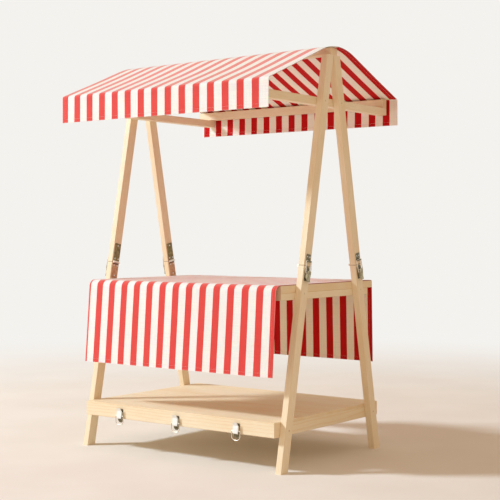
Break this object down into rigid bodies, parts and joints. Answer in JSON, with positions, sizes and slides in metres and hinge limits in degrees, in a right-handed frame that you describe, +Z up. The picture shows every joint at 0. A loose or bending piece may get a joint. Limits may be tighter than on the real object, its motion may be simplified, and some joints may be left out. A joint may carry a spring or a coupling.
{
  "type": "wooden market stall",
  "caption": "Free-standing timber market stall: leaning A-frames hold a striped cloth canopy, a table with a draped runner and a low shelf, with strap hinges and draw latches.",
  "frame": {"origin": "on the ground, midway between the two A-frames and midway between their front and back feet", "axes": "+X along the length of the stall, to the right of someone who faces its front; +Y from front to back; +Z up"},
  "size_m": [1.3114, 1.134, 2],
  "materials": {
    "pine": "planed pine, bare",
    "table_board": "planed pine, bare",
    "deck_board": "planed pine boards, bare",
    "canopy_cloth": "woven cotton, red and white stripes",
    "runner_cloth": "woven cotton, red and white stripes",
    "hinge_steel": "zinc plated",
    "latch_steel": "zinc plated",
    "wire": "zinc plated wire"
  },
  "bodies": {
    "frame": {"ridge_beam": "pine", "right_crossbar": "pine", "left_crossbar": "pine", "back_eave_rail": "pine", "front_eave_rail": "pine", "table_top": "table_board", "table_right_rail": "pine", "table_left_rail": "pine", "table_front_rail": "pine", "table_back_rail": "pine", "shelf_front_fascia": "pine", "shelf_back_fascia": "pine", "shelf_right_rail": "pine", "shelf_left_rail": "pine", "shelf_deck": "deck_board", "left_front_lower_leg": "pine", "left_front_upper_post": "pine", "left_back_lower_leg": "pine", "left_back_upper_post": "pine", "right_front_lower_leg": "pine", "right_front_upper_post": "pine", "right_back_lower_leg": "pine", "right_back_upper_post": "pine", "canopy": "canopy_cloth", "table_runner": "runner_cloth", "hinge_upper_leaves": "hinge_steel", "hinge_lower_leaves": "hinge_steel", "hinge_pins": "hinge_steel", "leg_latch_bases": "latch_steel", "leg_latch_catches": "latch_steel", "fascia_latch_bases": "latch_steel"},
    "left_front_latch_lever": {"left_front_latch_lever": "latch_steel"},
    "left_front_latch_bail": {"left_front_latch_bail": "wire"},
    "left_back_latch_lever": {"left_back_latch_lever": "latch_steel"},
    "left_back_latch_bail": {"left_back_latch_bail": "wire"},
    "right_front_latch_lever": {"right_front_latch_lever": "latch_steel"},
    "right_front_latch_bail": {"right_front_latch_bail": "wire"},
    "right_back_latch_lever": {"right_back_latch_lever": "latch_steel"},
    "right_back_latch_bail": {"right_back_latch_bail": "wire"},
    "left_fascia_latch_lever": {"left_fascia_latch_lever": "latch_steel"},
    "left_fascia_latch_ring": {"left_fascia_latch_ring": "wire"},
    "middle_fascia_latch_lever": {"middle_fascia_latch_lever": "latch_steel"},
    "middle_fascia_latch_ring": {"middle_fascia_latch_ring": "wire"},
    "right_fascia_latch_lever": {"right_fascia_latch_lever": "latch_steel"},
    "right_fascia_latch_ring": {"right_fascia_latch_ring": "wire"}
  },
  "joints": [
    {"name": "left_front_latch_turn", "type": "hinge", "parent": "frame", "child": "left_front_latch_lever", "pos_m": [-0.643, -0.22976, 0.92046], "axis": [0, 0.9817, -0.1906], "range_deg": [0, 100]},
    {"name": "left_front_bail_turn", "type": "hinge", "parent": "left_front_latch_lever", "child": "left_front_latch_bail", "pos_m": [-0.644, -0.23147, 0.91163], "axis": [0, 0.9817, -0.1906], "range_deg": [-95, 0]},
    {"name": "left_back_latch_turn", "type": "hinge", "parent": "frame", "child": "left_back_latch_lever", "pos_m": [-0.643, 0.22976, 0.92046], "axis": [0, 0.9817, 0.1906], "range_deg": [0, 100]},
    {"name": "left_back_bail_turn", "type": "hinge", "parent": "left_back_latch_lever", "child": "left_back_latch_bail", "pos_m": [-0.644, 0.23147, 0.91163], "axis": [0, 0.9817, 0.1906], "range_deg": [-95, 0]},
    {"name": "right_front_latch_turn", "type": "hinge", "parent": "frame", "child": "right_front_latch_lever", "pos_m": [0.643, -0.22976, 0.92046], "axis": [0, -0.9817, 0.1906], "range_deg": [0, 100]},
    {"name": "right_front_bail_turn", "type": "hinge", "parent": "right_front_latch_lever", "child": "right_front_latch_bail", "pos_m": [0.644, -0.23147, 0.91163], "axis": [0, -0.9817, 0.1906], "range_deg": [-95, 0]},
    {"name": "right_back_latch_turn", "type": "hinge", "parent": "frame", "child": "right_back_latch_lever", "pos_m": [0.643, 0.22976, 0.92046], "axis": [0, -0.9817, -0.1906], "range_deg": [0, 100]},
    {"name": "right_back_bail_turn", "type": "hinge", "parent": "right_back_latch_lever", "child": "right_back_latch_bail", "pos_m": [0.644, 0.23147, 0.91163], "axis": [0, -0.9817, -0.1906], "range_deg": [-95, 0]},
    {"name": "left_fascia_latch_turn", "type": "hinge", "parent": "frame", "child": "left_fascia_latch_lever", "pos_m": [-0.358, -0.452, 0.17], "axis": [1, 0, 0], "range_deg": [0, 100]},
    {"name": "left_fascia_ring_turn", "type": "hinge", "parent": "left_fascia_latch_lever", "child": "left_fascia_latch_ring", "pos_m": [-0.358, -0.453, 0.179], "axis": [1, 0, 0], "range_deg": [-100, 0]},
    {"name": "middle_fascia_latch_turn", "type": "hinge", "parent": "frame", "child": "middle_fascia_latch_lever", "pos_m": [0.014, -0.452, 0.17], "axis": [1, 0, 0], "range_deg": [0, 100]},
    {"name": "middle_fascia_ring_turn", "type": "hinge", "parent": "middle_fascia_latch_lever", "child": "middle_fascia_latch_ring", "pos_m": [0.014, -0.453, 0.179], "axis": [1, 0, 0], "range_deg": [-100, 0]},
    {"name": "right_fascia_latch_turn", "type": "hinge", "parent": "frame", "child": "right_fascia_latch_lever", "pos_m": [0.386, -0.452, 0.17], "axis": [1, 0, 0], "range_deg": [0, 100]},
    {"name": "right_fascia_ring_turn", "type": "hinge", "parent": "right_fascia_latch_lever", "child": "right_fascia_latch_ring", "pos_m": [0.386, -0.453, 0.179], "axis": [1, 0, 0], "range_deg": [-100, 0]}
  ],
  "couplings": [
    {"joint": "left_front_bail_turn", "follows": "left_front_latch_turn", "ratio": -0.93},
    {"joint": "left_back_bail_turn", "follows": "left_back_latch_turn", "ratio": -0.93},
    {"joint": "right_front_bail_turn", "follows": "right_front_latch_turn", "ratio": -0.93},
    {"joint": "right_back_bail_turn", "follows": "right_back_latch_turn", "ratio": -0.93},
    {"joint": "left_fascia_ring_turn", "follows": "left_fascia_latch_turn", "ratio": -1},
    {"joint": "middle_fascia_ring_turn", "follows": "middle_fascia_latch_turn", "ratio": -1},
    {"joint": "right_fascia_ring_turn", "follows": "right_fascia_latch_turn", "ratio": -1}
  ]
}
